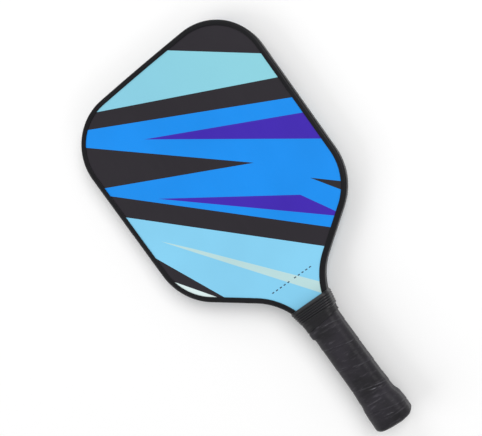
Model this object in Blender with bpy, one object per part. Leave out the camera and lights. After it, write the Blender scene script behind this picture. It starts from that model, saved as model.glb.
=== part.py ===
"""Pickleball paddle: honeycomb-cored head with an edge guard, and a wrapped handle with a flared butt.

+X is the paddle's width, +Y runs towards the tip of the head, +Z is the thickness. Lengths below are in
millimetres, and MM turns them into metres.
"""

import math

import bmesh
import bpy
from mathutils import Vector

MM = 0.001

# Head outline, at the outer surface of the edge guard
TIP_Y = 200.0
CROWN_R = 3000.0
CORNER_R = 53.5
HALF_WIDTH = 101.7
HALF_WIDTH_Y = 68.25
SIDE_TAPER = math.radians(1.1)
SHOULDER_RUN = 37.7
SHOULDER_R = 59.4
FLANK = math.radians(54.3)
THROAT_R = 61.5
NECK_HALF = 15.25
BUTT_Y = -200.0

# Layers of the head: half thicknesses measured from the mid-plane
CORE_TOP = 5.0
SKIN_LOW, SKIN_TOP = 5.1, 5.6
FILM_LOW, FILM_TOP = 5.65, 5.85
GUARD_LOW, GUARD_TOP = 5.75, 6.65

# Honeycomb
CELL_PITCH = 15.0
CELL_WALL = 0.9
CORE_RIM = 1.6

# Edge guard channel
BODY_INSET = 2.4
GUARD_WALL = 2.0
GUARD_FLANGE = 5.2
GUARD_ROUND = 2.0
GUARD_END_Y = -71.5

# Handle: stations of (y, half width, half thickness, corner radius) over the pallets and the butt cap
PALLET_TIP_Y = -69.5
PALLET_END_Y = -196.6
FILM_END_Y = -67.4
HANDLE = (
    (PALLET_TIP_Y, 12.3, 6.9, 2.0),
    (-72.6, 12.4, 8.7, 3.2),
    (-74.0, 13.2, 9.5, 4.0),
    (-78.0, 14.0, 11.2, 5.6),
    (-80.4, 14.5, 11.4, 6.2),
    (-85.0, 13.9, 11.3, 6.2),
    (-92.0, 13.2, 11.25, 6.2),
    (-100.0, 13.0, 11.25, 6.2),
    (PALLET_END_Y, 13.0, 11.25, 6.2),
)
CAP_LIP_Y = -163.5
CAP = (
    (CAP_LIP_Y, 13.5, 11.75, 6.6),
    (-170.0, 13.6, 11.85, 6.7),
    (-173.0, 14.3, 12.4, 7.1),
    (-176.5, 15.6, 13.5, 7.9),
    (-179.0, 16.1, 13.9, 8.2),
    (-192.0, 16.1, 13.9, 8.2),
    (-195.0, 15.7, 13.5, 8.2),
    (-197.0, 14.9, 12.7, 8.0),
)
CAP_RIM = (
    (-197.1, 16.6, 14.5, 8.8),
    (-198.3, 16.2, 14.1, 8.7),
    (-199.4, 15.1, 13.0, 8.4),
    (BUTT_Y, 13.4, 11.3, 8.0),
)
CAP_FLOOR_Y = -196.9
PLUG_HALF = (10.4, 8.3, 5.8)
PLUG_DEPTH = 1.4
PLUG_THICK = 1.1
FIT_GAP = 0.15

# Grip wrap
WRAP_LOW_Y, WRAP_HIGH_Y = -196.9, -80.7
WRAP_THICK = 1.65
WRAP_GAP = 0.1
WRAP_PITCH = 22.3
WRAP_WIDTH = 22.0
WRAP_LEAST = 3.0
WRAP_ROWS = 6
WRAP_REACH = 2.4

# Finishing tape over the top end of the wrap
FINISH_TOP_Y, FINISH_MID_Y, FINISH_LOW_Y = -80.6, -84.5, -89.0
FINISH_SLANT = 0.15
FINISH_THICK = 0.8

# Ribbed collar over the throat
COLLAR_TOP_Y, COLLAR_LOW_Y = -67.6, -80.3
COLLAR_TOP = (21.0, 12.0, 6.2)
COLLAR_LOW = (18.9, 12.9, 6.7)
COLLAR_RIBS = 5
RIB_DEPTH = 0.5

# Staples that hold the butt cap
STAPLE_Y = -185.5
STAPLE_WIDTH, STAPLE_WIRE, STAPLE_CROWN = 10.0, 1.2, 0.6
STAPLE_LEG = 6.4
STAPLE_CLEAR = 0.12

RING_POINTS = 32
MID_Z = max(row[2] for row in CAP) + WRAP_GAP + WRAP_THICK


def clear_scene():
    for item in list(bpy.data.objects):
        bpy.data.objects.remove(item, do_unlink=True)


def new_collection(name, hidden=False):
    made = bpy.data.collections.new(name)
    bpy.context.scene.collection.children.link(made)
    made.hide_render = hidden
    return made


def material(name, colour, roughness, metallic=0.0):
    made = bpy.data.materials.new(name)
    made.use_nodes = True
    shader = made.node_tree.nodes["Principled BSDF"]
    shader.inputs["Base Color"].default_value = (*colour, 1.0)
    shader.inputs["Roughness"].default_value = roughness
    shader.inputs["Metallic"].default_value = metallic
    return made


def add_object(name, data, collection):
    made = bpy.data.objects.new(name, data)
    collection.objects.link(made)
    if collection is helpers:
        made.hide_render = True
        made.display_type = "WIRE"
    return made


def finish(obj, slot):
    """Gives a part its material and smooth shading up to a sharp angle."""
    obj.data.materials.clear()
    obj.data.materials.append(slot)
    obj.data.shade_smooth()
    obj.data.set_sharp_from_angle(angle=math.radians(32))


# ---------------------------------------------------------------- outline


def arc(centre, radius, start, end, count):
    step = (end - start) / (count - 1)
    turns = [start + step * i for i in range(count)]
    return [(centre[0] + radius * math.cos(t), centre[1] + radius * math.sin(t)) for t in turns]


def half_outline(inset):
    """The right half of the head outline, moved inwards by inset, from the tip's centre to the neck."""
    crown = (0.0, TIP_Y - CROWN_R)
    side = Vector((math.cos(SIDE_TAPER), -math.sin(SIDE_TAPER)))
    along = Vector((-side.y, side.x))
    base = Vector((HALF_WIDTH, HALF_WIDTH_Y))
    lead = base - CORNER_R * side - Vector(crown)
    run = lead.dot(along)
    reach = math.sqrt(run * run - lead.dot(lead) + (CROWN_R - CORNER_R) ** 2) - run
    corner = base - CORNER_R * side + reach * along
    tangent = math.atan2(corner.y - crown[1], corner.x - crown[0])
    shoulder = base - SHOULDER_R * side - SHOULDER_RUN * along
    flank = Vector((math.cos(FLANK), -math.sin(FLANK)))
    throat_x = NECK_HALF + THROAT_R
    edge = flank.dot(shoulder + SHOULDER_R * flank) + THROAT_R
    throat = (throat_x, (edge - flank.x * throat_x) / flank.y)
    points = arc(crown, CROWN_R - inset, math.pi / 2, tangent, 4)
    points += arc(corner, CORNER_R - inset, tangent, -SIDE_TAPER, 13)[1:]
    points += arc(shoulder, SHOULDER_R - inset, -SIDE_TAPER, -FLANK, 10)
    points += arc(throat, THROAT_R + inset, math.pi - FLANK, math.pi, 12)
    return points


def cut_below(points, low_y):
    """The half outline stopped at low_y, or run straight down to it."""
    kept = [p for p in points if p[1] > low_y + 1e-6]
    if len(kept) == len(points):
        return [*kept, (kept[-1][0], low_y)]
    before, after = kept[-1], points[len(kept)]
    share = (before[1] - low_y) / (before[1] - after[1])
    return [*kept, (before[0] + share * (after[0] - before[0]), low_y)]


def spline_object(name, points, closed, collection):
    """A 2D poly curve through points given in millimetres."""
    data = bpy.data.curves.new(name, "CURVE")
    data.dimensions = "2D"
    spline = data.splines.new("POLY")
    spline.points.add(len(points) - 1)
    for point, (x, y) in zip(spline.points, points):
        point.co = (x * MM, y * MM, 0.0, 1.0)
    spline.use_cyclic_u = closed
    return add_object(name, data, collection)


def to_mesh(obj, name, collection):
    """A mesh object made from the evaluated curve, which is removed."""
    graph = bpy.context.evaluated_depsgraph_get()
    mesh = bpy.data.meshes.new_from_object(obj.evaluated_get(graph))
    mesh.transform(obj.matrix_world)
    bpy.data.objects.remove(obj, do_unlink=True)
    work = bmesh.new()
    work.from_mesh(mesh)
    bmesh.ops.remove_doubles(work, verts=work.verts, dist=1e-7)
    bmesh.ops.recalc_face_normals(work, faces=work.faces)
    work.to_mesh(mesh)
    work.free()
    mesh.name = name
    return add_object(name, mesh, collection)


def slab(name, inset, end_y, low, top, collection):
    """A plate with the head's outline and the handle's tail, between two heights from the mid-plane."""
    half = cut_below(half_outline(inset), end_y)
    points = half + [(-x, y) for x, y in reversed(half[1:])]
    curve = spline_object(name + "_curve", points, True, helpers)
    curve.data.fill_mode = "BOTH"
    curve.data.extrude = (top - low) / 2 * MM
    curve.location.z = (MID_Z + (top + low) / 2) * MM
    bpy.context.view_layer.update()
    return to_mesh(curve, name, collection)


def guard_sweep(name, profile, end_y, collection):
    """A profile of (inset, height) points swept along the head outline, open at the throat."""
    half = cut_below(half_outline(0.0), end_y)
    path = [(-x, y) for x, y in reversed(half[1:])] + half
    section = spline_object(name + "_section", profile, True, helpers)
    curve = spline_object(name + "_path", path, False, helpers)
    curve.data.dimensions = "3D"
    curve.data.twist_mode = "Z_UP"
    curve.data.bevel_mode = "OBJECT"
    curve.data.bevel_object = section
    curve.data.use_fill_caps = True
    curve.location.z = MID_Z * MM
    bpy.context.view_layer.update()
    made = to_mesh(curve, name, collection)
    bpy.data.objects.remove(section, do_unlink=True)
    return made


# ---------------------------------------------------------------- lofts


def ring(y, half_x, half_z, radius, slant=0.0, grow=0.0):
    """A rounded rectangle across the handle at y, as points in millimetres, grown outwards by grow."""
    steps = RING_POINTS // 4
    half_x, half_z, radius = half_x + grow, half_z + grow, radius + grow
    points = []
    for quarter in range(4):
        for i in range(steps):
            turn = (quarter + i / (steps - 1)) * math.pi / 2
            x = math.copysign(half_x - radius, math.cos((quarter + 0.5) * math.pi / 2))
            z = math.copysign(half_z - radius, math.sin((quarter + 0.5) * math.pi / 2))
            x += radius * math.cos(turn)
            z += radius * math.sin(turn)
            points.append((x, y + slant * x, MID_Z + z))
    return points


def loft(name, rings, collection, hollow=False):
    """A body through the rings. A hollow one joins its last ring back to its first."""
    count = len(rings[0])
    vertices = [Vector(point) * MM for section in rings for point in section]
    faces = []
    spans = len(rings) if hollow else len(rings) - 1
    for i in range(spans):
        here, there = i * count, (i + 1) % len(rings) * count
        for j in range(count):
            after = (j + 1) % count
            faces.append((here + j, here + after, there + after, there + j))
    if not hollow:
        faces.append(tuple(range(count))[::-1])
        faces.append(tuple((len(rings) - 1) * count + j for j in range(count)))
    mesh = bpy.data.meshes.new(name)
    mesh.from_pydata(vertices, [], faces)
    work = bmesh.new()
    work.from_mesh(mesh)
    bmesh.ops.recalc_face_normals(work, faces=work.faces)
    work.to_mesh(mesh)
    work.free()
    return add_object(name, mesh, collection)


def station(table, y):
    """Half width, half thickness and corner radius of a table of stations, at y."""
    for before, after in zip(table, table[1:]):
        if after[0] <= y <= before[0]:
            share = (before[0] - y) / (before[0] - after[0])
            return [b + share * (a - b) for b, a in zip(before[1:], after[1:])]
    return list(table[0][1:] if y > table[0][0] else table[-1][1:])


def wrap_base(y):
    """What the grip wrap lies on: the pallets, then the butt cap."""
    return station(CAP if y <= CAP_LIP_Y else HANDLE, y)


def wrap_bed(y):
    """The base as a stiff tape follows it: the largest section within its reach."""
    near = [wrap_base(y + WRAP_REACH * k / 4) for k in range(-4, 5)]
    return [max(sizes) for sizes in zip(*near)]


def box(name, low, high, collection):
    """A block between two corners given in millimetres."""
    work = bmesh.new()
    bmesh.ops.create_cube(work, size=1.0)
    sides = [(h - l) * MM for l, h in zip(low, high)]
    bmesh.ops.scale(work, vec=sides, verts=work.verts)
    bmesh.ops.translate(work, vec=[(h + l) / 2 * MM for l, h in zip(low, high)], verts=work.verts)
    mesh = bpy.data.meshes.new(name)
    work.to_mesh(mesh)
    work.free()
    return add_object(name, mesh, collection)


def cut(obj, cutter, operation="DIFFERENCE"):
    """An exact Boolean, applied at once, that uses up its cutter."""
    modifier = obj.modifiers.new(operation.title(), "BOOLEAN")
    modifier.operation = operation
    modifier.solver = "EXACT"
    modifier.object = cutter
    bpy.context.view_layer.update()
    graph = bpy.context.evaluated_depsgraph_get()
    mesh = bpy.data.meshes.new_from_object(obj.evaluated_get(graph))
    obj.modifiers.clear()
    obj.data = mesh
    mesh.name = obj.name
    bpy.data.objects.remove(cutter, do_unlink=True)


# ---------------------------------------------------------------- head


def honeycomb_cells(name):
    """Hexagonal prisms on a triangular grid, kept to the inside of the core's rim."""
    work = bmesh.new()
    cell_r = (CELL_PITCH - CELL_WALL) / math.sqrt(3)
    row_gap = CELL_PITCH * math.sqrt(3) / 2
    rows = range(-int(200 / row_gap), int(200 / row_gap) + 1)
    columns = range(-int(105 / CELL_PITCH), int(105 / CELL_PITCH) + 1)
    limit = half_outline(BODY_INSET + CORE_RIM + 0.25 * CELL_PITCH)
    for row in rows:
        y = row * row_gap
        for column in columns:
            x = (column + 0.5 * (row % 2)) * CELL_PITCH
            if not inside_half(limit, abs(x), y):
                continue
            made = bmesh.ops.create_cone(
                work, cap_ends=True, segments=6, radius1=cell_r * MM, radius2=cell_r * MM, depth=30 * MM
            )
            bmesh.ops.translate(work, vec=(x * MM, y * MM, MID_Z * MM), verts=made["verts"])
    mesh = bpy.data.meshes.new(name)
    work.to_mesh(mesh)
    work.free()
    return add_object(name, mesh, helpers)


def inside_half(points, x, y):
    """Whether (x, y) lies left of the half outline at that height."""
    for (x1, y1), (x2, y2) in zip(points, points[1:]):
        if y2 <= y < y1:
            return x < x1 + (y1 - y) / (y1 - y2) * (x2 - x1)
    return False


def make_core():
    core = slab("honeycomb_core", BODY_INSET, PALLET_END_Y, -CORE_TOP, CORE_TOP, paddle)
    cells = honeycomb_cells("cells")
    rim = slab("cell_limit", BODY_INSET + CORE_RIM, PALLET_END_Y, -20, 20, helpers)
    cut(cells, rim, "INTERSECT")
    cut(core, cells)
    finish(core, material("core_polymer", (0.78, 0.79, 0.76), 0.55))


def make_layers():
    for side, sign in (("front", 1), ("back", -1)):
        skin_low, skin_top = sorted((sign * SKIN_LOW, sign * SKIN_TOP))
        film_low, film_top = sorted((sign * FILM_LOW, sign * FILM_TOP))
        skin = slab(f"{side}_face_sheet", BODY_INSET, PALLET_END_Y, skin_low, skin_top, paddle)
        finish(skin, material(f"{side}_fibreglass", (0.62, 0.66, 0.58), 0.4))
        film = slab(f"{side}_print_film", GUARD_FLANGE + FIT_GAP, FILM_END_Y, film_low, film_top, paddle)
        finish(film, material(f"{side}_film", (0.05, 0.3, 0.85), 0.35))


def guard_profile():
    """The channel's section: outer wall with rounded edges, and a flange over each face."""
    turns = [math.pi / 2 * i / 3 for i in range(4)]
    centre = GUARD_TOP - GUARD_ROUND
    upper = [
        (GUARD_ROUND * (1 - math.cos(t)), centre + GUARD_ROUND * math.sin(t)) for t in turns
    ]
    upper += [(GUARD_FLANGE - 0.4, GUARD_TOP), (GUARD_FLANGE, GUARD_TOP - 0.3), (GUARD_FLANGE, GUARD_LOW)]
    upper += [(GUARD_WALL, GUARD_LOW)]
    return upper + [(x, -z) for x, z in reversed(upper)]


def make_guard():
    guard = guard_sweep("edge_guard", guard_profile(), GUARD_END_Y, paddle)
    finish(guard, material("guard_vinyl", (0.02, 0.02, 0.022), 0.42))


# ---------------------------------------------------------------- handle


def handle_rings(grow=0.0, low_y=PALLET_END_Y):
    table = [row for row in HANDLE if row[0] > low_y]
    table.append((low_y, *station(HANDLE, low_y)))
    return [ring(*row, grow=grow) for row in table]


def staple(name, sign, grow, reach, collection):
    """A flat-crowned staple driven in through the butt cap, grown by its clearance."""
    top = wrap_base(STAPLE_Y)[1] - 0.08
    half = STAPLE_WIDTH / 2
    low = top - STAPLE_LEG
    y_low, y_high = STAPLE_Y - STAPLE_WIRE / 2 - grow, STAPLE_Y + STAPLE_WIRE / 2 + grow
    z_ends = sorted((sign * (top + reach), sign * (low - grow)))
    gap_ends = sorted((sign * (low - grow - 1), sign * (top - STAPLE_CROWN - grow)))
    body = box(
        name, (-half - grow, y_low, MID_Z + z_ends[0]), (half + grow, y_high, MID_Z + z_ends[1]), collection
    )
    gap = half - STAPLE_CROWN - grow
    throat = box(
        name + "_gap", (-gap, y_low - 2, MID_Z + gap_ends[0]), (gap, y_high + 2, MID_Z + gap_ends[1]), helpers
    )
    cut(body, throat)
    return body


def make_pallets():
    for side, sign in (("front", 1), ("back", -1)):
        pallet = loft(f"handle_pallet_{side}", handle_rings(), paddle)
        low, high = sorted((sign * (SKIN_TOP + FIT_GAP), -sign * 40))
        cut(pallet, box("pallet_cut", (-40, -230, MID_Z + low), (40, -40, MID_Z + high), helpers))
        cut(pallet, staple("staple_hole", sign, STAPLE_CLEAR, 3.0, helpers))
        finish(pallet, material(f"pallet_{side}_foam", (0.12, 0.12, 0.12), 0.75))


def make_butt():
    cap = loft("butt_cap", [ring(*row) for row in (*CAP, *CAP_RIM)], paddle)
    inner = [row for row in HANDLE if row[0] < FINISH_LOW_Y][:-1]
    inner = [ring(*row, grow=FIT_GAP) for row in (*inner, (CAP_FLOOR_Y, *HANDLE[-1][1:]))]
    cut(cap, loft("cap_bore", inner, helpers))
    seat = [ring(y, *PLUG_HALF, grow=FIT_GAP) for y in (BUTT_Y + PLUG_DEPTH, BUTT_Y - 5)]
    cut(cap, loft("plug_seat", seat, helpers))
    for sign in (1, -1):
        cut(cap, staple("staple_hole", sign, STAPLE_CLEAR, 3.0, helpers))
    finish(cap, material("cap_plastic", (0.03, 0.03, 0.033), 0.5))
    back = BUTT_Y + PLUG_DEPTH - FIT_GAP
    face = back - PLUG_THICK
    plug = [ring(y, *PLUG_HALF, grow=grow) for y, grow in ((back, 0), (face + 0.35, 0), (face, -0.5))]
    plug = loft("butt_plug", plug, paddle)
    finish(plug, material("plug_plastic", (0.045, 0.045, 0.05), 0.35))
    for side, sign in (("front", 1), ("back", -1)):
        pin = staple(f"butt_staple_{side}", sign, 0.0, 0.0, paddle)
        finish(pin, material(f"staple_{side}_steel", (0.55, 0.55, 0.57), 0.3, 1.0))


def make_wrap():
    """The helical tape: one long strip, each turn a little below the next, trimmed level at both ends."""
    first = (WRAP_LEAST - WRAP_WIDTH / 2) / WRAP_PITCH
    last = (WRAP_HIGH_Y - WRAP_LOW_Y - WRAP_LEAST + WRAP_WIDTH / 2) / WRAP_PITCH
    sections = []
    for i in range(math.ceil(first * RING_POINTS), math.floor(last * RING_POINTS) + 1):
        middle = WRAP_LOW_Y + WRAP_PITCH * i / RING_POINTS
        low = max(middle - WRAP_WIDTH / 2, WRAP_LOW_Y)
        high = min(middle + WRAP_WIDTH / 2, WRAP_HIGH_Y)
        rows = [low + (high - low) * j / WRAP_ROWS for j in range(WRAP_ROWS + 1)]
        beds = [(y, *wrap_bed(y)) for y in rows]
        outside = [ring(*bed, grow=WRAP_GAP + WRAP_THICK)[i % RING_POINTS] for bed in beds]
        inside = [ring(*bed, grow=WRAP_GAP)[i % RING_POINTS] for bed in beds]
        sections.append(outside + inside[::-1])
    wrap = loft("grip_wrap", sections, paddle)
    finish(wrap, material("wrap_leather", (0.035, 0.034, 0.037), 0.5))


def make_finishing_tape():
    gap = 3 * WRAP_GAP + WRAP_THICK
    low_rings, high_rings = [], []
    for grow, rings in ((gap + FINISH_THICK, high_rings), (gap, low_rings)):
        rings.append(ring(FINISH_TOP_Y, *wrap_bed(FINISH_TOP_Y), grow=grow))
        rings.append(ring(FINISH_MID_Y, *wrap_bed(FINISH_MID_Y), slant=FINISH_SLANT / 2, grow=grow))
        rings.append(ring(FINISH_LOW_Y, *wrap_bed(FINISH_LOW_Y + 2), slant=FINISH_SLANT, grow=grow))
    tape = loft("finishing_tape", high_rings + low_rings[::-1], paddle, hollow=True)
    finish(tape, material("finishing_vinyl", (0.015, 0.015, 0.017), 0.38))


def make_collar():
    rings = []
    steps = 4 * COLLAR_RIBS
    for i in range(steps + 1):
        share = i / steps
        y = COLLAR_TOP_Y + share * (COLLAR_LOW_Y - COLLAR_TOP_Y)
        size = [a + share * (b - a) for a, b in zip(COLLAR_TOP, COLLAR_LOW)]
        rings.append(ring(y, *size, grow=(0.0, 0.75 * RIB_DEPTH, RIB_DEPTH, 0.75 * RIB_DEPTH)[i % 4]))
    collar = loft("grip_collar", rings, paddle)
    cut(collar, loft("handle_room", handle_rings(FIT_GAP, FINISH_LOW_Y), helpers))
    tail_half = SKIN_TOP + FIT_GAP
    cut(collar, slab("tail_room", BODY_INSET - FIT_GAP, FINISH_LOW_Y, -tail_half, tail_half, helpers))
    reach, high = GUARD_FLANGE + FIT_GAP, GUARD_TOP + FIT_GAP
    room = [(-FIT_GAP, -high), (-FIT_GAP, high), (reach, high), (reach, -high)]
    cut(collar, guard_sweep("guard_room", room, GUARD_END_Y - 2 * FIT_GAP, helpers))
    finish(collar, material("collar_rubber", (0.022, 0.022, 0.024), 0.5))


clear_scene()
paddle = new_collection("pickleball_paddle")
helpers = new_collection("helpers", hidden=True)
make_core()
make_layers()
make_guard()
make_pallets()
make_butt()
make_wrap()
make_finishing_tape()
make_collar()
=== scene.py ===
"""Pickleball paddle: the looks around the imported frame.

Lengths are in millimetres in the row frame, and MM turns them into metres. The camera, the soft boxes, the
floor and the bumps are in metres.
"""

import math

import bmesh
import bpy
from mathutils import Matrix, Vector, noise
from mathutils.geometry import delaunay_2d_cdt


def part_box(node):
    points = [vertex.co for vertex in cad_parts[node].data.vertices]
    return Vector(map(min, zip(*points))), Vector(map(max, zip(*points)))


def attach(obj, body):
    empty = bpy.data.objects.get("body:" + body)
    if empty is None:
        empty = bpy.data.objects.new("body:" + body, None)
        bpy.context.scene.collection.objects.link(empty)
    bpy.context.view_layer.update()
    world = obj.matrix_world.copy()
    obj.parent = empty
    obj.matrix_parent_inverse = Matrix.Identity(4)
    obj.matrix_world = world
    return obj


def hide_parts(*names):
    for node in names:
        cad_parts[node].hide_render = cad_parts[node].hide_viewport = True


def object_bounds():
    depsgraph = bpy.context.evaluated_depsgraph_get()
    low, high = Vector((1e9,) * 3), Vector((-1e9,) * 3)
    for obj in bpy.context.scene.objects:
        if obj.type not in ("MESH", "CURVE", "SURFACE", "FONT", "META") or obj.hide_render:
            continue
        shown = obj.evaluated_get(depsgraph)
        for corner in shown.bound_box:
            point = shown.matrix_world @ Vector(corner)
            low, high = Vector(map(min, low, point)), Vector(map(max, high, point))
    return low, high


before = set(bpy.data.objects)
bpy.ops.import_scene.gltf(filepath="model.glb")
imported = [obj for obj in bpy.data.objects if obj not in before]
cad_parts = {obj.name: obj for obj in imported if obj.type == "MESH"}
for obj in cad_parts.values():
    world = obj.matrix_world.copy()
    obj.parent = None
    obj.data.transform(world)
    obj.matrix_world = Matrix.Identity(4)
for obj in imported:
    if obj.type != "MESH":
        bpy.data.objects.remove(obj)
CAD_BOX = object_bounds()
MM = 0.001
BODY = "root"


def node_box(node):
    """A CAD node's low and high corners in millimetres."""
    low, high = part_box(node)
    return [c / MM for c in low], [c / MM for c in high]


GUARD_BOX = node_box("edge_guard")
FILM_BOX = node_box("front_print_film")
COLLAR_BOX = node_box("grip_collar")
TAPE_BOX = node_box("finishing_tape")
WRAP_BOX = node_box("grip_wrap")
CAP_BOX = node_box("butt_cap")
PLUG_BOX = node_box("butt_plug")
MID_Z = (GUARD_BOX[0][2] + GUARD_BOX[1][2]) / 2
TIP_Y = GUARD_BOX[1][1]
BUTT_Y = CAP_BOX[0][1]

# Head outline, the same as the CAD's
CROWN_R = 3000.0
CORNER_R = 53.5
HALF_WIDTH = 101.7
HALF_WIDTH_Y = 68.25
SIDE_TAPER = math.radians(1.1)
SHOULDER_RUN = 37.7
SHOULDER_R = 59.4
FLANK = math.radians(54.3)
THROAT_R = 61.5
NECK_HALF = 15.25
GUARD_FLANGE = 5.2
GUARD_WALL = 2.0
GUARD_ROUND = 2.0
GUARD_HALF = GUARD_BOX[1][2] - MID_Z
GUARD_LIP_ROUND = 0.42
GUARD_LIP_FOOT = 5.97
FILM_HALF = FILM_BOX[1][2] - MID_Z
FILM_THICK = 0.18
# How far the film and the guard carry on under what covers their edges
FILM_UNDER_LIP = 1.4
FILM_UNDER_COLLAR = 1.2
GUARD_UNDER_COLLAR = 3.6

# Handle sections: (y, half width, half thickness, corner radius)
HANDLE = (
    (-80.4, 14.5, 11.4, 6.2),
    (-85.0, 14.0, 11.3, 6.2),
    (-90.0, 13.75, 11.25, 6.2),
    (-100.0, 13.65, 11.25, 6.2),
    (-155.0, 13.7, 11.25, 6.2),
    (-160.0, 14.0, 11.3, 6.3),
    (-166.0, 14.35, 11.6, 6.5),
    (-171.0, 14.4, 11.9, 6.7),
    (-174.0, 14.9, 12.5, 7.2),
    (-177.0, 15.8, 13.1, 7.9),
    (-179.5, 16.15, 13.4, 8.2),
    (-192.0, 16.3, 13.4, 8.2),
    (-195.0, 16.1, 13.1, 8.2),
    (-197.0, 15.3, 12.3, 8.0),
)
# The one along the grip's straight stretch, which sets how the walk round every other one is shared out
GRIP_SECTION = HANDLE[3]


# ---------------------------------------------------------------- camera, light and floor

LENS = 58.05
CAMERA_PLACE = (0.16995, -0.03070, 0.70727)
CAMERA_TURN = (-4.588, 14.467, -36.864)
# Soft boxes, set so that the print's mirror direction stays dark: (name, place, size, watts)
SOFT_BOXES = (
    ("right_box", (1.35, 0.45, 2.15), (1.5, 1.5), 30.5),
    ("left_box", (-2.0, 0.2, 1.4), (1.5, 1.5), 16.0),
    ("far_box", (0.2, 2.1, 1.4), (1.8, 1.2), 10.0),
    ("near_box", (0.3, -2.2, 1.4), (1.8, 1.2), 8.0),
)
WORLD_STRENGTH = 0.45
FLOOR_HALF = 4.0
FLOOR_DROP = 0.8 * MM
FLOOR_GREY = 0.955


def make_camera():
    data = bpy.data.cameras.new("Camera")
    data.sensor_width = 36.0
    data.lens = LENS
    data.clip_start = 0.01
    camera = bpy.data.objects.new("Camera", data)
    camera.location = CAMERA_PLACE
    camera.rotation_euler = [math.radians(a) for a in CAMERA_TURN]
    bpy.context.scene.collection.objects.link(camera)
    bpy.context.scene.camera = camera


def area_light(name, place, size, power):
    """A soft box that points at the origin."""
    data = bpy.data.lights.new(name, "AREA")
    data.shape = "RECTANGLE"
    data.size, data.size_y = size
    data.energy = power
    light = bpy.data.objects.new(name, data)
    light.location = place
    light.rotation_euler = (-Vector(place)).to_track_quat("-Z", "Y").to_euler()
    bpy.context.scene.collection.objects.link(light)


def make_stage():
    """A white studio: even light from all round, soft boxes, and a pale floor just under the paddle."""
    world = bpy.data.worlds.new("Studio")
    world.use_nodes = True
    background = world.node_tree.nodes["Background"]
    background.inputs["Color"].default_value = (1.0, 1.0, 1.0, 1.0)
    background.inputs["Strength"].default_value = WORLD_STRENGTH
    bpy.context.scene.world = world
    bpy.context.scene.view_settings.view_transform = "Standard"
    for soft_box in SOFT_BOXES:
        area_light(*soft_box)
    floor_mesh = bpy.data.meshes.new("floor")
    work = bmesh.new()
    bmesh.ops.create_grid(work, x_segments=2, y_segments=2, size=FLOOR_HALF)
    work.to_mesh(floor_mesh)
    work.free()
    floor = bpy.data.objects.new("floor", floor_mesh)
    floor.location.z = CAD_BOX[0][2] - FLOOR_DROP
    bpy.context.scene.collection.objects.link(floor)
    made, nodes, links, shader = new_material("studio_floor")
    shader.inputs["Roughness"].default_value = 0.9
    shader.inputs["Base Color"].default_value = (FLOOR_GREY, FLOOR_GREY, FLOOR_GREY, 1.0)
    shader.inputs["Specular IOR Level"].default_value = 0.1
    floor_mesh.materials.append(made)


# ---------------------------------------------------------------- materials


def linear(red, green, blue):
    """An sRGB colour of 0 to 255 as a linear one."""
    parts = [c / 255 for c in (red, green, blue)]
    parts = [c / 12.92 if c <= 0.04045 else ((c + 0.055) / 1.055) ** 2.4 for c in parts]
    return (*parts, 1.0)


def new_material(name):
    """A node material, with its nodes, its links and its shader."""
    made = bpy.data.materials.new(name)
    made.use_nodes = True
    nodes, links = made.node_tree.nodes, made.node_tree.links
    return made, nodes, links, nodes["Principled BSDF"]


def add_node(nodes, kind, **values):
    """A new node, each value put in the input of that name, or else set as a property."""
    made = nodes.new(kind)
    for key, value in values.items():
        if key in made.inputs:
            made.inputs[key].default_value = value
        else:
            setattr(made, key, value)
    return made


def noise_node(nodes, links, coordinates, scale, detail=3.0, roughness=0.5, stretch=None):
    """A noise texture in object space, scale in features per metre."""
    source = coordinates
    if stretch:
        mapping = add_node(nodes, "ShaderNodeMapping")
        mapping.inputs["Scale"].default_value = stretch
        links.new(coordinates, mapping.inputs["Vector"])
        source = mapping.outputs["Vector"]
    made = add_node(nodes, "ShaderNodeTexNoise")
    made.inputs["Scale"].default_value = scale
    made.inputs["Detail"].default_value = detail
    made.inputs["Roughness"].default_value = roughness
    links.new(source, made.inputs["Vector"])
    return made.outputs["Fac"]


def remap(nodes, links, value, low, high, start=0.3, end=0.7):
    """The value from start to end turned into low to high, and held at both ends."""
    made = add_node(nodes, "ShaderNodeMapRange")
    made.inputs["From Min"].default_value = start
    made.inputs["From Max"].default_value = end
    made.inputs["To Min"].default_value = low
    made.inputs["To Max"].default_value = high
    links.new(value, made.inputs["Value"])
    return made.outputs["Result"]


def colour_mix(nodes, links, factor, first, second):
    """The first colour turning into the second as the factor goes from 0 to 1."""
    made = add_node(nodes, "ShaderNodeMix", data_type="RGBA")
    links.new(factor, made.inputs["Factor"])
    for socket, value in (("A", first), ("B", second)):
        inputs = [i for i in made.inputs if i.name == socket and i.type == "RGBA"]
        if isinstance(value, tuple):
            inputs[0].default_value = value
        else:
            links.new(value, inputs[0])
    return next(o for o in made.outputs if o.type == "RGBA")


def add_values(nodes, links, pairs):
    """The sum of each value times its weight."""
    total = None
    for value, weight in pairs:
        scaled = add_node(nodes, "ShaderNodeMath", operation="MULTIPLY")
        links.new(value, scaled.inputs[0])
        scaled.inputs[1].default_value = weight
        if total is None:
            total = scaled.outputs[0]
            continue
        summed = add_node(nodes, "ShaderNodeMath", operation="ADD")
        links.new(total, summed.inputs[0])
        links.new(scaled.outputs[0], summed.inputs[1])
        total = summed.outputs[0]
    return total


def bump(nodes, links, shader, height, distance, strength):
    """A bumped normal on the shader, distance in metres."""
    made = add_node(nodes, "ShaderNodeBump")
    made.inputs["Strength"].default_value = strength
    made.inputs["Distance"].default_value = distance
    links.new(height, made.inputs["Height"])
    links.new(made.outputs["Normal"], shader.inputs["Normal"])


def scaled_colour(colour, factor):
    """The colour made brighter or darker."""
    return (*(min(1.0, c * factor) for c in colour[:3]), 1.0)


def mottled(nodes, links, value, colour, low, high):
    """The colour, drifting between two shades of itself as the value does."""
    share = remap(nodes, links, value, 0.0, 1.0)
    return colour_mix(nodes, links, share, scaled_colour(colour, low), scaled_colour(colour, high))


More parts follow.
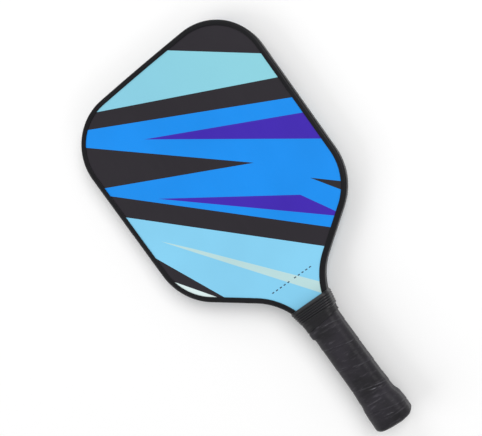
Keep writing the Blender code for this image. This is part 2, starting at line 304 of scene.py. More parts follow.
def print_material(name, colour, far_colour=None, gloss=0.36):
    """Printed film over glass cloth: faint weave, slow colour drift, fine handling marks."""
    made, nodes, links, shader = new_material(name)
    place = add_node(nodes, "ShaderNodeTexCoord").outputs["Object"]
    drift = noise_node(nodes, links, place, 18.0, 2.0)
    tint = mottled(nodes, links, drift, colour, 0.955, 1.03)
    if far_colour:
        split = add_node(nodes, "ShaderNodeSeparateXYZ")
        links.new(place, split.inputs["Vector"])
        across = remap(nodes, links, split.outputs["X"], 0.0, 1.0, -0.06, 0.09)
        tint = colour_mix(nodes, links, across, tint, far_colour)
    links.new(tint, shader.inputs["Base Color"])
    waves = []
    for direction in ("X", "Y"):
        wave = add_node(nodes, "ShaderNodeTexWave", wave_type="BANDS", bands_direction=direction)
        wave.inputs["Scale"].default_value = 95.0
        wave.inputs["Distortion"].default_value = 0.6
        wave.inputs["Detail"].default_value = 1.0
        links.new(place, wave.inputs["Vector"])
        waves.append(wave.outputs["Fac"])
    fine = noise_node(nodes, links, place, 2600.0, 2.0)
    marks = noise_node(nodes, links, place, 300.0, 4.0, 0.7, stretch=(1.0, 0.12, 1.0))
    height = add_values(nodes, links, ((waves[0], 0.5), (waves[1], 0.5), (fine, 0.5)))
    bump(nodes, links, shader, height, 0.00004, 0.35)
    rough = add_values(nodes, links, ((marks, 0.16), (drift, 0.08)))
    sheen = remap(nodes, links, rough, gloss - 0.05, gloss + 0.08, 0.06, 0.2)
    links.new(sheen, shader.inputs["Roughness"])
    shader.inputs["Specular IOR Level"].default_value = 0.3
    return made


def moulded_material(name, colour, rough, grain, grain_depth, specular=0.4):
    """Moulded plastic or rubber: fine grain, slow sheen changes, a little paler where it is scuffed."""
    made, nodes, links, shader = new_material(name)
    place = add_node(nodes, "ShaderNodeTexCoord").outputs["Object"]
    slow = noise_node(nodes, links, place, 35.0, 3.0)
    fine = noise_node(nodes, links, place, grain, 2.0)
    scuff = noise_node(nodes, links, place, 420.0, 5.0, 0.72, stretch=(1.0, 0.25, 1.0))
    pale_patch = remap(nodes, links, scuff, 0.0, 1.0, 0.6, 0.82)
    base = mottled(nodes, links, slow, colour, 0.85, 1.15)
    tint = colour_mix(nodes, links, pale_patch, base, scaled_colour(colour, 2.4))
    links.new(tint, shader.inputs["Base Color"])
    mixed = add_values(nodes, links, ((slow, 0.5), (scuff, 0.5)))
    links.new(remap(nodes, links, mixed, rough - 0.06, rough + 0.1), shader.inputs["Roughness"])
    bump(nodes, links, shader, add_values(nodes, links, ((fine, 1.0), (scuff, 0.4))), grain_depth, 0.6)
    shader.inputs["Specular IOR Level"].default_value = specular
    return made


def leather_material(name):
    """Cushioned synthetic leather: pebbled grain, soft creases, a faint sheen, and painted highlights:
    pale streaks along the creases and near-white patches on the fold crests and the strip's lapping edge.
    """
    made, nodes, links, shader = new_material(name)
    place = add_node(nodes, "ShaderNodeTexCoord").outputs["Object"]
    slow = noise_node(nodes, links, place, 55.0, 3.0)
    cells = add_node(nodes, "ShaderNodeTexVoronoi")
    cells.inputs["Scale"].default_value = 1500.0
    links.new(place, cells.inputs["Vector"])
    grain = noise_node(nodes, links, place, 900.0, 4.0, 0.6)
    creases = noise_node(nodes, links, place, 330.0, 5.0, 0.68, stretch=(0.22, 1.0, 0.22))
    dark, pale = linear(12, 9, 16), linear(32, 28, 37)
    # Painted highlight colours: a paler one for the crease streaks, and a near-white one for the fold
    # crests and the lapping edge
    fleck_highlight, pale_patch = linear(88, 85, 92), linear(150, 148, 156)
    tint = colour_mix(nodes, links, remap(nodes, links, slow, 0.0, 1.0), dark, pale)
    # Painted highlight: the crease streaks turned paler, standing in for glints off the ridges
    fleck_highlight_share = remap(nodes, links, creases, 0.0, 0.55, 0.56, 0.76)
    tint = colour_mix(nodes, links, fleck_highlight_share, tint, fleck_highlight)
    # Painted highlights stored on the mesh: near-white on the fold crests and the strip's lapping edge,
    # where they would glint
    painted_highlight = add_node(nodes, "ShaderNodeAttribute", attribute_name="painted_highlight").outputs["Fac"]
    patchy = add_node(nodes, "ShaderNodeMath", operation="MULTIPLY")
    links.new(painted_highlight, patchy.inputs[0])
    links.new(remap(nodes, links, creases, 0.0, 0.85, 0.42, 0.66), patchy.inputs[1])
    tint = colour_mix(nodes, links, patchy.outputs[0], tint, pale_patch)
    links.new(tint, shader.inputs["Base Color"])
    height = add_values(nodes, links, ((cells.outputs["Distance"], 0.4), (grain, 0.5), (creases, 1.3)))
    bump(nodes, links, shader, height, 0.00034, 0.7)
    mixed = add_values(nodes, links, ((slow, 0.5), (creases, 0.5)))
    links.new(remap(nodes, links, mixed, 0.42, 0.62), shader.inputs["Roughness"])
    shader.inputs["Specular IOR Level"].default_value = 0.36
    shader.inputs["Sheen Weight"].default_value = 0.05
    shader.inputs["Sheen Roughness"].default_value = 0.4
    return made


def polymer_material(name, colour, rough, translucent=0.0):
    """Core plastic, foam or glass laminate, none of which shows from outside."""
    made, nodes, links, shader = new_material(name)
    place = add_node(nodes, "ShaderNodeTexCoord").outputs["Object"]
    slow = noise_node(nodes, links, place, 60.0, 3.0)
    links.new(mottled(nodes, links, slow, colour, 0.9, 1.05), shader.inputs["Base Color"])
    links.new(remap(nodes, links, slow, rough - 0.06, rough + 0.06), shader.inputs["Roughness"])
    fine = noise_node(nodes, links, place, 700.0, 3.0)
    bump(nodes, links, shader, fine, 0.00005, 0.5)
    shader.inputs["Subsurface Weight"].default_value = translucent
    shader.inputs["Subsurface Scale"].default_value = 0.002
    return made


def steel_material(name):
    """Drawn steel wire."""
    made, nodes, links, shader = new_material(name)
    place = add_node(nodes, "ShaderNodeTexCoord").outputs["Object"]
    drawn = noise_node(nodes, links, place, 900.0, 4.0, 0.6, stretch=(0.05, 1.0, 1.0))
    share = remap(nodes, links, drawn, 0.0, 1.0)
    tint = colour_mix(nodes, links, share, linear(180, 181, 184), linear(205, 206, 208))
    links.new(tint, shader.inputs["Base Color"])
    links.new(remap(nodes, links, drawn, 0.24, 0.4), shader.inputs["Roughness"])
    shader.inputs["Metallic"].default_value = 1.0
    return made


# ---------------------------------------------------------------- shapes

SHARP_FROM = math.radians(40)


def arc(centre, radius, start, end, count):
    """Points along an arc, both ends included."""
    step = (end - start) / (count - 1)
    turns = [start + step * i for i in range(count)]
    return [(centre[0] + radius * math.cos(t), centre[1] + radius * math.sin(t)) for t in turns]


def half_outline(inset, fineness):
    """The right half of the head outline, moved inwards by inset, from the tip's centre to the neck."""
    crown = (0.0, TIP_Y - CROWN_R)
    side = Vector((math.cos(SIDE_TAPER), -math.sin(SIDE_TAPER)))
    along = Vector((-side.y, side.x))
    base = Vector((HALF_WIDTH, HALF_WIDTH_Y))
    lead = base - CORNER_R * side - Vector(crown)
    run = lead.dot(along)
    reach = math.sqrt(run * run - lead.dot(lead) + (CROWN_R - CORNER_R) ** 2) - run
    corner = base - CORNER_R * side + reach * along
    tangent = math.atan2(corner.y - crown[1], corner.x - crown[0])
    shoulder = base - SHOULDER_R * side - SHOULDER_RUN * along
    flank = Vector((math.cos(FLANK), -math.sin(FLANK)))
    throat_x = NECK_HALF + THROAT_R
    edge = flank.dot(shoulder + SHOULDER_R * flank) + THROAT_R
    throat = (throat_x, (edge - flank.x * throat_x) / flank.y)
    points = arc(crown, CROWN_R - inset, math.pi / 2, tangent, 6 * fineness)
    points += arc(corner, CORNER_R - inset, tangent, -SIDE_TAPER, 16 * fineness)[1:]
    points += arc(shoulder, SHOULDER_R - inset, -SIDE_TAPER, -FLANK, 12 * fineness)
    points += arc(throat, THROAT_R + inset, math.pi - FLANK, math.pi, 14 * fineness)
    return points


def cut_below(points, low_y):
    """The points above low_y, and the one where the outline crosses it."""
    kept = [p for p in points if p[1] > low_y + 1e-6]
    before, after = kept[-1], points[len(kept)]
    share = (before[1] - low_y) / (before[1] - after[1])
    return [*kept, (before[0] + share * (after[0] - before[0]), low_y)]


def piece(name, vertices, faces, materials, stands_for, smooth=True, indices=None):
    """A new mesh from points in millimetres, riding on the body in place of a CAD node."""
    mesh = bpy.data.meshes.new(name)
    mesh.from_pydata([Vector(v) * MM for v in vertices], [], faces)
    for material in materials:
        mesh.materials.append(material)
    if indices:
        for polygon, index in zip(mesh.polygons, indices):
            polygon.material_index = index
    work = bmesh.new()
    work.from_mesh(mesh)
    bmesh.ops.recalc_face_normals(work, faces=work.faces)
    work.to_mesh(mesh)
    work.free()
    if smooth:
        mesh.shade_smooth()
        mesh.set_sharp_from_angle(angle=SHARP_FROM)
    made = bpy.data.objects.new(name, mesh)
    bpy.context.scene.collection.objects.link(made)
    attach(made, BODY)
    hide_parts(stands_for)
    return made


def skin(rings, looped=False):
    """Vertices and faces through rings of as many points each, capped or looped back to the first ring."""
    count = len(rings[0])
    vertices = [point for section in rings for point in section]
    faces = []
    spans = len(rings) if looped else len(rings) - 1
    for i in range(spans):
        here, there = i * count, (i + 1) % len(rings) * count
        for j in range(count):
            after = (j + 1) % count
            faces.append((here + j, here + after, there + after, there + j))
    if not looped:
        faces.append(tuple(range(count))[::-1])
        faces.append(tuple((len(rings) - 1) * count + j for j in range(count)))
    return vertices, faces


def plan_walk():
    """A handle section's straights and corners, each as shares of the way round, and the way's length."""
    _, half_x, half_z, radius = GRIP_SECTION
    side, top, corner = 2 * (half_z - radius), 2 * (half_x - radius), math.pi / 2 * radius
    lengths = [side / 2, corner, top, corner, side, corner, top, corner, side / 2]
    total, passed = sum(lengths), 0.0
    spans = []
    for length in lengths:
        spans.append((passed / total, (passed + length) / total))
        passed += length
    return spans, total


WALK, AROUND = plan_walk()


def section_point(turn, size, lift):
    """(x, z) on a handle section, a share of a turn round from +X over the front, and lifted outwards."""
    half_x, half_z, radius = size
    turn %= 1.0
    index = next((i for i, (_, end) in enumerate(WALK) if turn <= end), 8)
    start, end = WALK[index]
    share = (turn - start) / (end - start)
    flat_x, flat_z = half_x - radius, half_z - radius
    if index % 2:
        quarter = index // 2
        angle = (quarter + share) * math.pi / 2
        centre_x = flat_x if quarter in (0, 3) else -flat_x
        centre_z = flat_z if quarter in (0, 1) else -flat_z
        reach = radius + lift
        return centre_x + reach * math.cos(angle), centre_z + reach * math.sin(angle)
    if index in (0, 8):
        z = flat_z * share if index == 0 else -flat_z * (1 - share)
        return half_x + lift, z
    if index == 4:
        return -half_x - lift, flat_z * (1 - 2 * share)
    x = flat_x * (1 - 2 * share)
    return (x, half_z + lift) if index == 2 else (-x, -half_z - lift)


def handle_size(y):
    """Half width, half thickness and corner radius under the wrap at y, with the steps smoothed."""
    sizes = []
    for offset in (-1.6, -0.8, 0.0, 0.8, 1.6):
        place = min(max(y + offset, HANDLE[-1][0]), HANDLE[0][0])
        for before, after in zip(HANDLE, HANDLE[1:]):
            if after[0] <= place <= before[0]:
                share = (before[0] - place) / (before[0] - after[0])
                sizes.append([b + share * (a - b) for b, a in zip(before[1:], after[1:])])
                break
    return [sum(parts) / len(sizes) for parts in zip(*sizes)]


def blend(table, x):
    """A value read off a table of (x, value) pairs with smooth joins."""
    if x <= table[0][0]:
        return table[0][1]
    for before, after in zip(table, table[1:]):
        if x <= after[0]:
            share = (x - before[0]) / (after[0] - before[0])
            share = share * share * (3 - 2 * share)
            return before[1] + share * (after[1] - before[1])
    return table[-1][1]


# ---------------------------------------------------------------- head

BLUE = linear(7, 138, 234)
SKY = linear(131, 204, 237)
AQUA = linear(137, 205, 218)
DEEP_AQUA = linear(133, 200, 222)
PURPLE = linear(60, 30, 172)
BLACK = linear(34, 30, 37)
MINT = linear(184, 217, 218)
PALE = linear(218, 236, 236)
DASH = linear(58, 78, 98)

# Shards of the print, later ones on top, on a black ground: (colour, corners)
SHARDS = (
    ("aqua", ((-80.0, 203.6), (110.0, 104.2), (110.0, 126.8), (19.2, 204.2))),
    ("blue", ((-110.0, 203.3), (110.0, 81.4), (110.0, -75.8), (-110.0, 133.5))),
    ("black", ((34.1, 63.1), (-110.0, 191.4), (-110.0, 137.5))),
    ("purple", ((-37.4, 143.7), (110.0, 64.8), (110.0, 33.0))),
    ("purple", ((-60.2, 91.4), (51.3, 14.7), (74.4, -26.4))),
    ("black", ((67.4, 21.7), (110.0, -17.4), (110.0, -44.3))),
    ("sky", ((-110.0, 108.6), (110.0, -99.8), (-23.5, -99.8), (-110.0, 76.1))),
    ("pale", ((-110.0, 40.3), (-35.7, -60.0), (-110.0, -60.0))),
    ("mint", ((-82.0, 57.5), (-60.0, 33.5), (38.1, -80.0), (24.1, -80.0), (-60.0, 28.6))),
)
# A row of plain dashes across the throat
DASH_ROW_Y, DASH_LENGTH, DASH_HEIGHT = -42.6, 2.2, 1.1
DASH_PLACES = (-22.2, -17.8, -13.4, -9.0, -4.6, 3.0, 7.2, 11.4, 15.6, 19.8)


def inside(polygon, x, y):
    """Whether a point lies in a polygon."""
    found = False
    for (x1, y1), (x2, y2) in zip(polygon, polygon[1:] + polygon[:1]):
        if (y1 > y) != (y2 > y) and x < (x2 - x1) * (y - y1) / (y2 - y1) + x1:
            found = not found
    return found


def print_shapes():
    """Every printed shape as (colour, corners), in the order they are laid."""
    shapes = [(colour, [tuple(c) for c in corners]) for colour, corners in SHARDS]
    for x in DASH_PLACES:
        low, high = DASH_ROW_Y - DASH_HEIGHT / 2, DASH_ROW_Y + DASH_HEIGHT / 2
        left, right = x - DASH_LENGTH / 2, x + DASH_LENGTH / 2
        shapes.append(("dash", [(left, low), (right, low), (right, high), (left, high)]))
    return shapes


def cut_shards(outline):
    """The print cut along every shape's edges: its corner points, its faces and each face's colour."""
    shapes = print_shapes()
    points = list(outline)
    edges = [(i, (i + 1) % len(outline)) for i in range(len(outline))]
    for _, corners in shapes:
        first = len(points)
        points += corners
        edges += [(first + i, first + (i + 1) % len(corners)) for i in range(len(corners))]
    places, _, cells, *_ = delaunay_2d_cdt([Vector(p) for p in points], edges, [], 0, 1e-5)
    faces, colours = [], []
    for cell in cells:
        x = sum(places[v].x for v in cell) / len(cell)
        y = sum(places[v].y for v in cell) / len(cell)
        if not inside(outline, x, y):
            continue
        laid = [colour for colour, corners in shapes if inside(corners, x, y)]
        faces.append(tuple(cell))
        colours.append(laid[-1] if laid else "black")
    used = sorted({v for face in faces for v in face})
    number = {v: i for i, v in enumerate(used)}
    faces = [tuple(number[v] for v in face) for face in faces]
    return [places[v] for v in used], faces, colours


def make_print(side, sign):
    """The printed film, its shards faces of their own so that their edges are crisp."""
    half = half_outline(GUARD_FLANGE - FILM_UNDER_LIP, 2)
    half = cut_below(half, COLLAR_BOX[1][1] - FILM_UNDER_COLLAR)
    places, faces, colours = cut_shards(half + [(-x, y) for x, y in reversed(half[1:])])
    names = list(PRINT_MATERIALS)
    z = MID_Z + sign * FILM_HALF
    made = piece(
        f"{side}_print",
        [(sign * place.x, place.y, z) for place in places],
        faces,
        list(PRINT_MATERIALS.values()),
        f"{side}_print_film",
        smooth=False,
        indices=[names.index(colour) for colour in colours],
    )
    if made.data.polygons[0].normal.z * sign < 0:
        made.data.flip_normals()
    thick = made.modifiers.new("thickness", "SOLIDIFY")
    thick.thickness = FILM_THICK * MM
    thick.offset = -1.0


def sweep_rings(profile, path):
    """Rings of (inset, height) points, each square to a path that lies flat."""
    rings = []
    for i, (x, y) in enumerate(path):
        before, after = path[max(i - 1, 0)], path[min(i + 1, len(path) - 1)]
        along = Vector((after[0] - before[0], after[1] - before[1])).normalized()
        rings.append([(x + along.y * d, y - along.x * d, MID_Z + z) for d, z in profile])
    return rings


def spread(path, gap):
    """The path with its long stretches divided, so that no step is longer than gap."""
    made = [path[0]]
    for before, after in zip(path, path[1:]):
        distance = math.dist(before, after)
        if distance < 0.05:
            continue
        steps = max(1, math.ceil(distance / gap))
        for i in range(1, steps + 1):
            made.append(tuple(b + (a - b) * i / steps for b, a in zip(before, after)))
    return made


def guard_profile():
    """The channel's section, with rounded outer edges and softened lips, as (inset, height)."""
    quarter = [math.pi / 2 * i / 9 for i in range(10)]
    centre = GUARD_HALF - GUARD_ROUND
    seat = FILM_HALF + 0.02
    upper = [(0.06 * math.cos(math.pi * k / 8), centre * k / 4) for k in range(4)]
    upper += [(GUARD_ROUND * (1 - math.cos(t)), centre + GUARD_ROUND * math.sin(t)) for t in quarter]
    upper += [(3.2, GUARD_HALF + 0.02), (4.0, GUARD_HALF)]
    for t in quarter[::2]:
        fall, drop = GUARD_LIP_ROUND * (1 - math.sin(t)), GUARD_LIP_ROUND * (1 - math.cos(t))
        upper.append((GUARD_FLANGE - fall, GUARD_HALF - drop))
    upper += [(GUARD_FLANGE, GUARD_LIP_FOOT), (GUARD_FLANGE - 0.1, seat), (GUARD_FLANGE - 0.6, seat)]
    upper += [(GUARD_WALL, seat), (GUARD_WALL, FILM_HALF - 0.4)]
    return upper + [(d, -z) for d, z in reversed(upper) if z > 1e-9]


def make_guard():
    """The edge guard, from one side of the throat round the head to the other."""
    half = cut_below(half_outline(0.0, 4), COLLAR_BOX[1][1] - GUARD_UNDER_COLLAR)
    path = spread([(-x, y) for x, y in reversed(half[1:])] + half, 2.4)
    vertices, faces = skin(sweep_rings(guard_profile(), path))
    piece("edge_guard_trim", vertices, faces, [GUARD_VINYL], "edge_guard")


# ---------------------------------------------------------------- handle

# The wrap: one strip wound up the handle, each turn lapping over the upper edge of the one below
WRAP_PITCH = 22.3
WRAP_START = -187.1 - 2 * WRAP_PITCH
WRAP_LAP = 3.2
WRAP_WIDTH = WRAP_PITCH + WRAP_LAP
WRAP_LOW_Y, WRAP_HIGH_Y = WRAP_BOX[0][1], -84.5
WRAP_STEP = 0.5
WRAP_END_MARGIN = 3.0
# Height of the strip's top over the handle, by the distance from its lower edge
WRAP_TOP = (
    (0.0, 1.5), (0.25, 1.8), (0.8, 1.95), (2.5, 1.94), (5.0, 1.87), (9.0, 1.84), (15.0, 1.84),
    (19.0, 1.8), (21.0, 1.68), (22.3, 1.5), (25.5, 0.75),
)
WRAP_BOTTOM = ((0.0, 1.42), (1.0, 1.4), (3.2, 0.7), (5.0, 0.25), (20.0, 0.2), (25.5, 0.15))
# Where across the strip its points lie, close together at its lower edge
WRAP_TOP_POINTS = [0.0, 0.1, 0.25, 0.5, 0.8, 1.2, 1.7] + [2.2 + 0.5 * k for k in range(41)]
WRAP_TOP_POINTS += [22.9, 24.2, WRAP_WIDTH]
WRAP_BOTTOM_POINTS = [WRAP_WIDTH, 20.0, 12.0, 6.0, 4.2, 3.2, 2.2, 1.0, 0.15]
# The most that the wrap may rise, so that it stays under the tape: (y, rise)
WRAP_CEILING = ((-93.0, 3.9), (-90.0, 3.2), (-87.5, 1.95))
# How wrinkled the wrap is: (y, share)
WRAP_WRINKLED = ((-190.0, 1.0), (-160.0, 1.0), (-135.0, 0.6), (-95.0, 0.7))
# Folds in the wrap: (y, x where it starts, x where it ends, rise, half length across the fold, slope)
FOLDS = (
    (-158.6, 1.0, 15.5, 0.5, 0.5, -0.2),
    (-159.9, -1.0, 14.0, -0.4, 0.6, -0.2),
    (-161.0, -3.0, 14.0, 0.46, 0.5, -0.21),
    (-156.6, 3.0, 14.5, -0.34, 0.7, -0.17),
    (-163.4, -15.0, 3.0, -0.34, 0.8, -0.12),
    (-166.3, -9.0, 13.0, -0.3, 1.0, -0.08),
    (-169.0, 1.0, 15.0, 0.24, 0.6, -0.1),
    (-172.0, -13.0, 11.0, 0.26, 0.8, -0.05),
    (-174.6, -10.0, 9.0, -0.26, 0.8, -0.09),
    (-177.5, -3.0, 13.0, -0.2, 0.9, -0.06),
    (-181.0, -15.0, 0.0, -0.26, 0.8, -0.12),
    (-186.9, -8.0, 14.0, 0.3, 0.5, -0.09),
    (-188.2, -11.0, 13.0, -0.24, 0.8, -0.08),
    (-192.5, -12.0, 8.0, -0.16, 0.7, -0.05),
    (-149.5, -13.0, 2.0, -0.2, 0.9, -0.14),
    (-146.0, 3.0, 15.0, -0.22, 0.9, -0.2),
    (-140.6, -12.0, 6.0, 0.2, 0.7, -0.12),
    (-138.4, -14.0, 5.0, -0.36, 0.9, -0.22),
    (-134.8, -15.0, -1.0, 0.24, 0.9, -0.26),
    (-127.0, 0.0, 14.0, 0.18, 0.7, -0.16),
    (-124.0, 2.0, 15.0, -0.2, 0.8, -0.12),
    (-116.2, -13.0, 8.0, -0.26, 0.9, -0.15),
    (-112.4, -6.0, 13.0, 0.2, 0.7, -0.13),
    (-103.5, -10.0, 9.0, -0.18, 0.9, -0.1),
    (-97.0, -12.0, 6.0, 0.24, 0.6, -0.12),
    (-95.4, -10.0, 12.0, -0.26, 0.8, -0.1),
    (-92.6, -8.0, 11.0, 0.26, 0.55, -0.08),
)
BACK_FOLD_SHIFT = 4.0
# Extra bulk down the two sides: (y, rise)
LEFT_SIDE = (
    (-195.0, 0.3), (-190.0, -0.1), (-170.0, 0.1), (-166.0, 0.3), (-160.0, 0.2), (-154.0, 0.15),
    (-99.5, 0.4), (-97.3, 1.9), (-93.0, 2.0), (-91.0, 1.4), (-86.0, 0.8),
)
RIGHT_SIDE = (
    (-197.0, 1.4), (-195.4, 0.7), (-193.0, 0.5), (-189.0, 0.6), (-180.0, 0.3), (-171.0, -0.5),
    (-160.0, -0.25), (-90.0, -0.35),
)


def fold_rise(x, y, z):
    """The folds' rise at a point. Those at the back are the front's, turned about and moved along."""
    if z <= 0:
        x, y = -x, y + BACK_FOLD_SHIFT
    rise = 0.0
    for place, start, end, height, width, slope in FOLDS:
        across = (y - place - slope * x) / width
        if abs(across) > 3:
            continue
        middle, reach = (start + end) / 2, (end - start) / 2
        along = max(0.0, 1 - ((x - middle) / reach) ** 2)
        rise += height * along * math.exp(-across * across)
    return rise


def wrap_rise(way, across, x, y, z):
    """What the soft strip stands out or sinks by at a point, in millimetres."""
    slow = noise.noise(Vector((way * 0.035, across * 0.09, 3.1)))
    wrinkle = noise.noise(Vector((way * 0.07, across * 0.42, 11.7)))
    wrinkle = 1 - abs(wrinkle) * 2.2
    fine = noise.noise(Vector((way * 0.22, across * 0.9, 23.0)))
    rise = 0.16 * slow + blend(WRAP_WRINKLED, y) * 0.12 * max(0.0, wrinkle) ** 3 + 0.035 * fine
    pucker = noise.noise(Vector((way * 0.3, 5.0, 7.7)))
    rise += 0.14 * pucker * math.exp(-across / 2.4)
    rise += fold_rise(x, y, z) * (1.0 if z > 0 else 0.8)
    side = blend(((8.0, 0.0), (14.5, 1.0)), abs(x))
    return rise + side * blend(LEFT_SIDE if x < 0 else RIGHT_SIDE, y)


def painted_highlight_share(across, x, y, z):
    """How much painted highlight the wrap gets at a point: along its overlapping edge and on the crests of
    its folds.
    """
    edge = math.exp(-(((across - 0.75) / 0.45) ** 2))
    return min(1.0, 0.26 * edge + max(0.0, fold_rise(x, y, z) - 0.16) / 0.26)


def wrap_point(turn, edge, across, on_top):
    """A point of the strip in millimetres, and how much painted highlight it gets there."""
    y = min(max(edge + across, WRAP_LOW_Y), WRAP_HIGH_Y)
    size = handle_size(y)
    lift = blend(WRAP_TOP if on_top else WRAP_BOTTOM, across)
    painted_highlight = 0.0
    if on_top:
        trim = min(1.0, max(0.0, min(y - WRAP_LOW_Y, WRAP_HIGH_Y - y)))
        x, z = section_point(turn, size, lift)
        lift += wrap_rise(turn * AROUND, across, x, y, z) * trim
        lift = min(lift, blend(WRAP_CEILING, y)) - 0.35 * (1 - trim) ** 2
    x, z = section_point(turn, size, max(lift, 0.12))
    if on_top:
        painted_highlight = painted_highlight_share(across, x, y, z)
    return (x, y, MID_Z + z), painted_highlight


def make_wrap():
    """The strip wound round the handle."""
    first = (WRAP_LOW_Y + WRAP_END_MARGIN - WRAP_WIDTH - WRAP_START) / WRAP_PITCH
    last = (WRAP_HIGH_Y - WRAP_END_MARGIN - WRAP_START) / WRAP_PITCH
    steps = round((last - first) * AROUND / WRAP_STEP)
    places = [(across, True) for across in WRAP_TOP_POINTS]
    places += [(across, False) for across in WRAP_BOTTOM_POINTS]
    rings, painted_highlight = [], []
    for i in range(steps + 1):
        turn = first + (last - first) * i / steps
        edge = WRAP_START + WRAP_PITCH * turn
        made = [wrap_point(turn, edge, across, on_top) for across, on_top in places]
        rings.append([point for point, _ in made])
        painted_highlight += [share for _, share in made]
    vertices, faces = skin(rings)
    strip = piece("grip_wrap_strip", vertices, faces, [LEATHER], "grip_wrap")
    strip.data.set_sharp_from_angle(angle=math.radians(70))
    # Painted highlight shares, one for each point, which the leather's colour reads
    strip.data.attributes.new("painted_highlight", "FLOAT", "POINT").data.foreach_set("value", painted_highlight)


# Folds round the tape: (share of the way down, lean, rise)
TAPE_FOLDS = ((0.36, 0.006, 0.16), (0.47, 0.004, -0.16), (0.66, -0.007, 0.18), (0.76, -0.006, -0.16))
TAPE_LOW_Y = -89.3
TAPE_SLANT = 0.09
TAPE_LIFT, TAPE_INNER_LIFT = 2.62, 2.0
# The free end, lapped at the back: (share of the turn, rise)
TAPE_LAP = ((0.70, 0.0), (0.708, 1.0), (0.9, 0.4), (1.0, 0.0))


def tape_rise(turn, share, x):
    """What the tape stands out by at a share of the turn round and of the way down it."""
    rise = 0.14 * noise.noise(Vector((turn * 12, share * 4.0, 1.0)))
    rise += 0.12 * noise.noise(Vector((turn * 26, share * 15.0, 4.0)))
    rise += 0.34 * math.exp(-(((share - 0.93) / 0.05) ** 2))
    for place, lean, height in TAPE_FOLDS:
        rise += height * math.exp(-(((share - place - lean * x) / 0.045) ** 2))
    rise -= 0.35 * (max(0.0, abs(share - 0.5) - 0.46) / 0.04) ** 2
    rise += 0.2 * blend(TAPE_LAP, turn)
    return rise + 0.9 * blend(((-16.0, 1.0), (-9.0, 0.0)), x)


def make_finishing_tape():
    """Smooth tape over the top of the wrap."""
    around, rows = 200, 26
    top_y = TAPE_BOX[1][1]
    outer, inner = [], []
    for i in range(rows + 1):
        share = i / rows
        size = handle_size(top_y + share * (TAPE_LOW_Y + 1 - top_y))
        for rings, lift in ((outer, TAPE_LIFT), (inner, TAPE_INNER_LIFT)):
            section = []
            for j in range(around):
                turn = j / around
                x, z = section_point(turn, size, lift)
                y = top_y + share * (TAPE_LOW_Y - top_y) + share * TAPE_SLANT * x
                if rings is outer:
                    x, z = section_point(turn, size, lift + tape_rise(turn, share, x))
                section.append((x, y, MID_Z + z))
            rings.append(section)
    vertices, faces = skin(outer + inner[::-1], looped=True)
    piece("finishing_tape_band", vertices, faces, [TAPE_VINYL], "finishing_tape")


def round_ring(y, half_x, half_z, radius, slant=0.0):
    """A rounded oblong ring across the handle, leaning along it by slant times x."""
    steps = 18
    points = []
    for quarter in range(4):
        centre_x = (half_x - radius) * (1 if quarter in (0, 3) else -1)
        centre_z = (half_z - radius) * (1 if quarter in (0, 1) else -1)
        for i in range(steps):
            turn = (quarter + i / (steps - 1)) * math.pi / 2
            x, z = centre_x + radius * math.cos(turn), centre_z + radius * math.sin(turn)
            points.append((x, y + slant * x, MID_Z + z))
    return points


# The collar's two ends: (half width, half thickness, corner radius)
COLLAR_TOP = (20.4, 11.9, 6.2)
COLLAR_LOW = (17.8, 12.9, 6.7)
COLLAR_LOW_Y = -81.9
COLLAR_RIBS = 6
COLLAR_RIB_STEPS = 12
COLLAR_RIB_DEPTH = 0.8
COLLAR_SLANT = -0.03


def make_collar():
    """The ribbed rubber collar over the throat."""
    top_y = COLLAR_BOX[1][1]
    rings = [round_ring(top_y, *(s - shrink for s in COLLAR_TOP)) for shrink in (1.1, 0.5)]
    steps = COLLAR_RIBS * COLLAR_RIB_STEPS
    for i in range(steps + 1):
        share = i / steps
        y = top_y + (0.1 + 0.89 * share) * (COLLAR_LOW_Y - top_y) if i else top_y - 0.12
        swell = math.sqrt(max(0.0, math.sin(math.pi * (i % COLLAR_RIB_STEPS) / COLLAR_RIB_STEPS)))
        grow = COLLAR_RIB_DEPTH * swell - 0.35
        size = [a + share * (b - a) + grow for a, b in zip(COLLAR_TOP, COLLAR_LOW)]
        rings.append(round_ring(y, *size, slant=COLLAR_SLANT * share))
    for shrink in (0.6, 1.6):
        rings.append(round_ring(COLLAR_LOW_Y, *(s - shrink for s in COLLAR_LOW), slant=COLLAR_SLANT))
    vertices, faces = skin(rings)
    piece("grip_collar_ribbed", vertices, faces, [COLLAR_RUBBER], "grip_collar")


# The butt cap from inside the wrap to the mouth in its end: (y, half width, half thickness, corner radius)
CAP_RINGS = (
    (-163.5, 13.5, 11.2, 6.6), (-170.0, 13.6, 11.3, 6.7), (-173.0, 14.3, 11.9, 7.1),
    (-176.5, 15.2, 12.6, 7.9), (-179.0, 15.6, 12.9, 8.2), (-192.0, 15.6, 12.9, 8.2),
    (-195.0, 15.4, 12.6, 8.2), (-196.7, 14.9, 12.0, 8.0), (-196.75, 16.3, 13.1, 8.7),
    (-196.9, 16.6, 13.4, 8.8), (-197.3, 16.6, 13.3, 8.8), (-197.8, 16.3, 12.8, 8.7),
    (-198.2, 15.6, 12.1, 8.6), (-198.6, 14.7, 11.4, 8.4), (-198.9, 13.6, 10.6, 8.1),
    (-199.1, 12.4, 9.8, 7.4), (-199.15, 11.2, 9.1, 6.3), (-199.0, 10.8, 8.7, 6.0),
    (BUTT_Y + 1.4, 10.6, 8.5, 5.9),
)
PLUG_SIZE = (10.4, 8.3, 5.8)
# The plug's end, with a shallow ring pressed into it: (height over its face, how much narrower)
PLUG_END = (
    (0.45, 0.0), (0.15, 0.12), (0.0, 0.45), (0.0, 1.6), (0.25, 1.8), (0.25, 2.3), (0.0, 2.5), (-0.02, 4.0),
)


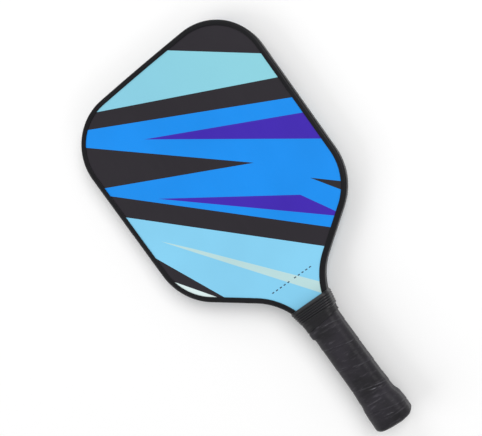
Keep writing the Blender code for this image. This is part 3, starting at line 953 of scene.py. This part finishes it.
def make_butt():
    """The butt cap and the plug in its end."""
    vertices, faces = skin([round_ring(*row) for row in CAP_RINGS])
    piece("butt_cap_moulding", vertices, faces, [CAP_PLASTIC], "butt_cap")
    back_y, face_y = PLUG_BOX[1][1], PLUG_BOX[0][1]
    rings = [round_ring(back_y, *PLUG_SIZE)]
    for height, shrink in PLUG_END:
        rings.append(round_ring(face_y + height, *(s - shrink for s in PLUG_SIZE)))
    vertices, faces = skin(rings)
    piece("butt_plug_disc", vertices, faces, [PLUG_PLASTIC], "butt_plug")


def dress_frame():
    """Procedural materials on the CAD nodes that stay."""
    looks = {"honeycomb_core": polymer_material("core_polymer_look", linear(226, 228, 222), 0.5, 0.2)}
    for side in ("front", "back"):
        laminate = polymer_material(f"glass_laminate_{side}", linear(196, 204, 188), 0.35)
        foam = polymer_material(f"pallet_foam_{side}", linear(92, 92, 94), 0.8)
        looks[f"{side}_face_sheet"] = laminate
        looks[f"handle_pallet_{side}"] = foam
        looks[f"butt_staple_{side}"] = steel_material(f"staple_wire_{side}")
    for name, look in looks.items():
        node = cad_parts[name]
        node.data.materials.clear()
        node.data.materials.append(look)


PRINT_MATERIALS = {
    "black": print_material("print_black", BLACK, gloss=0.42),
    "blue": print_material("print_blue", BLUE),
    "purple": print_material("print_purple", PURPLE),
    "sky": print_material("print_sky", SKY),
    "aqua": print_material("print_aqua", DEEP_AQUA, AQUA),
    "mint": print_material("print_mint", MINT),
    "pale": print_material("print_pale", PALE),
    "dash": print_material("print_dash", DASH),
}
GUARD_VINYL = moulded_material("guard_vinyl_look", linear(7, 7, 12), 0.4, 1600.0, 0.00003, 0.26)
CAP_PLASTIC = moulded_material("cap_plastic_look", linear(32, 31, 35), 0.46, 900.0, 0.00006)
PLUG_PLASTIC = moulded_material("plug_plastic_look", linear(40, 40, 44), 0.36, 1200.0, 0.00003)
COLLAR_RUBBER = moulded_material("collar_rubber_look", linear(9, 7, 13), 0.3, 1100.0, 0.00003, 0.55)
TAPE_VINYL = moulded_material("finishing_vinyl_look", linear(15, 13, 18), 0.46, 700.0, 0.00005, 0.34)
LEATHER = leather_material("wrap_leather_look")
make_camera()
make_stage()
dress_frame()
make_print("front", 1)
make_print("back", -1)
make_guard()
make_wrap()
make_finishing_tape()
make_collar()
make_butt()
